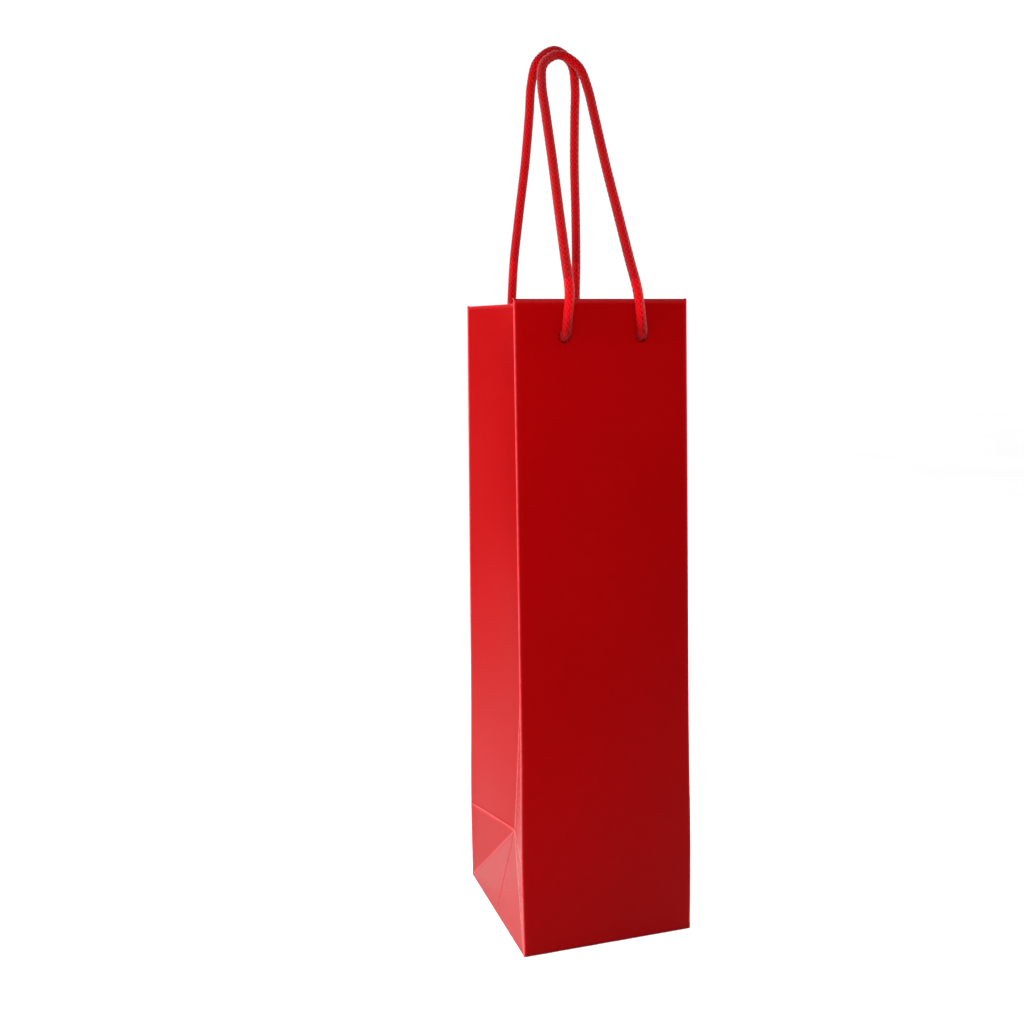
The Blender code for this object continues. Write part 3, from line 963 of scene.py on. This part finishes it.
def cord_piece(name, points, sides, ups, travelled, caps):
    """A length of braided cord round the points. caps says which of its ends are rounded off."""
    rising_height, falling_height = braid_heights(travelled)
    height = np.maximum(rising_height, falling_height)
    radius = (CORE_RADIUS + height) * end_taper(travelled, caps)[:, None]
    theta = math.tau * np.arange(CORD_SIDES) / CORD_SIDES
    ring = np.cos(theta)[None, :, None] * sides[:, None]
    ring = ring + np.sin(theta)[None, :, None] * ups[:, None]
    places = points[:, None] + ring * radius[..., None]
    rings = len(points)
    starts = np.arange(rings - 1)[:, None] * CORD_SIDES
    low = (starts + np.arange(CORD_SIDES)[None]).ravel()
    turn = (starts + (np.arange(CORD_SIDES)[None] + 1) % CORD_SIDES).ravel()
    faces = np.stack([low, turn, turn + CORD_SIDES, low + CORD_SIDES], axis=1).tolist()
    verts = places.reshape(-1, 3).tolist()
    leans = (rising_height > falling_height).astype(float).ravel().tolist()
    # Low shares are painted dark: the braid's valleys and the cord at its hole.
    braid_light_shares = np.clip((height - height.min()) / (height.max() - height.min()), 0.0, 1.0)
    braid_light_shares = (braid_light_shares * (0.12 + 0.88 * braid_freedom(points)[:, None])).ravel().tolist()
    # Both ends are filled, so the cord is closed where it is cut into pieces too.
    for base, end in ((0, points[0]), ((rings - 1) * CORD_SIDES, points[-1])):
        centre = len(verts)
        verts.append(end.tolist())
        leans.append(0.5)
        braid_light_shares.append(0.4)
        for i in range(CORD_SIDES):
            here, there = base + i, base + (i + 1) % CORD_SIDES
            faces.append((there, here, centre) if base == 0 else (here, there, centre))
    mesh = bpy.data.meshes.new(name)
    mesh.from_pydata(verts, [], faces)
    map_braid(mesh, travelled)
    mesh.shade_smooth()
    mesh.update()
    mesh.set_sharp_from_angle(angle=math.radians(60))
    put_attribute(mesh, "lean", leans)
    put_attribute(mesh, "crown", braid_light_shares)
    return link(name, mesh, (cord_red,))


def build_cord(side, route, y_sign, knot):
    """A handle from knot to knot: one braided length, cut into its two knots and the cord."""
    right = np.array([(x, y_sign * y, z) for x, y, z in route])
    left = right[::-1][1:] * np.array([-1.0, 1.0, 1.0])
    handle = even_path(np.vstack([right, left]), RING_STEP)
    elbow_top = HOLE_HEIGHT + ELBOW
    first = int(np.argmax(handle[:, 2] > elbow_top))
    handle = handle[first : len(handle) - first]
    wall_y = float(half_depth(HOLE_HEIGHT))

    def end_run(x_sign, top):
        """From the tail through the knot, the hole and the elbow, up to the handle."""
        hole_x = x_sign * HOLE_X
        inside = np.array(
            [(hole_x + x_sign * b, y_sign * (wall_y - a), HOLE_HEIGHT + c) for a, b, c in knot]
        )
        bend = []
        for turn in np.radians(np.linspace(0.0, 90.0, ELBOW_POINTS))[1:-1]:
            share = turn / (math.pi / 2)
            x = hole_x + (top[0] - hole_x) * share**2
            y = y_sign * (wall_y + (abs(top[1]) - wall_y) * math.sin(turn))
            bend.append((x, y, HOLE_HEIGHT + ELBOW * (1 - math.cos(turn))))
        return np.vstack([inside[::-1], bend])

    start = end_run(1, handle[0])
    end = end_run(-1, handle[-1])[::-1]
    lead = even_path(np.vstack([start, handle[:1]]), RING_STEP)
    trail = even_path(np.vstack([handle[-1:], end]), RING_STEP)
    points = np.vstack([lead[:-1], handle, trail[1:]])
    travelled = distances_along(points)
    sides, ups = carried_frames(points)
    cut = (len(lead) - 1, len(lead) - 1 + len(handle))
    runs = {
        f"{side}_right_knot": (0, cut[0] + 1, (True, False)),
        f"{side}_handle_cord": (cut[0], cut[1], (False, False)),
        f"{side}_left_knot": (cut[1] - 1, len(points), (False, True)),
    }
    pieces = {}
    for node, (low, high, caps) in runs.items():
        name = f"{node}_braid"
        part = slice(low, high)
        piece = cord_piece(name, points[part], sides[part], ups[part], travelled[part], caps)
        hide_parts(node)
        pieces[node] = piece
    knots = [pieces[f"{side}_right_knot"], pieces[f"{side}_left_knot"]]
    for piece in knots:
        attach(piece, "bag")
    cord = pieces[f"{side}_handle_cord"]
    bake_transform(cord)


# ---------------------------------------------------------------- the floor


def build_floor():
    """A wide plain disc, made of rings, just under the bag."""
    points = [(0.0, 0.0, -FLOOR_GAP)]
    faces = []
    for ring, radius in enumerate(FLOOR_RADII):
        first = 1 + ring * FLOOR_SIDES
        for i in range(FLOOR_SIDES):
            a = math.tau * i / FLOOR_SIDES
            points.append((radius * math.cos(a), radius * math.sin(a), -FLOOR_GAP))
            here, there = first + i, first + (i + 1) % FLOOR_SIDES
            if ring == 0:
                faces.append((0, here, there))
            else:
                faces.append((here - FLOOR_SIDES, here, there, there - FLOOR_SIDES))
    mesh = bpy.data.meshes.new("floor")
    mesh.from_pydata(points, [], faces)
    link("floor", mesh, (floor_white("floor_white"),))


# ---------------------------------------------------------------- the scene

bpy.context.scene.view_settings.view_transform = "Standard"
build_camera()
build_world()
build_lights()

red_film = red_laminate("red_laminated_paper")
paper_back = white_paper("uncoated_paper")
card_white = white_paper("white_card", (0.74, 0.73, 0.69))
board_grey = grey_board("grey_board")
cord_red = red_cord("red_braided_cord")

knot_points = tightened_knot()
build_cord("front", FRONT_ROUTE, -1, knot_points)
build_cord("back", BACK_ROUTE, 1, knot_points)

for panel_side, panel_sign in (("front", -1), ("back", 1)):
    build_panel(panel_side, panel_sign)
    build_hem(panel_side, panel_sign)
    build_bottom_flap(panel_side, panel_sign)
    for gusset_side, gusset_sign in (("left", -1), ("right", 1)):
        build_gusset_half(gusset_side, panel_side, gusset_sign, panel_sign)
        build_gusset_hem(gusset_side, panel_side, gusset_sign, panel_sign)

KEPT_NODES = {
    "front_reinforcement_card": card_white,
    "back_reinforcement_card": card_white,
    "glue_seam_flap": paper_back,
    "bottom_tuck_left": paper_back,
    "bottom_tuck_right": paper_back,
    "base_board": board_grey,
}
for node_name, node_material in KEPT_NODES.items():
    node_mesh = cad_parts[node_name].data
    node_mesh.materials.clear()
    node_mesh.materials.append(node_material)

build_floor()
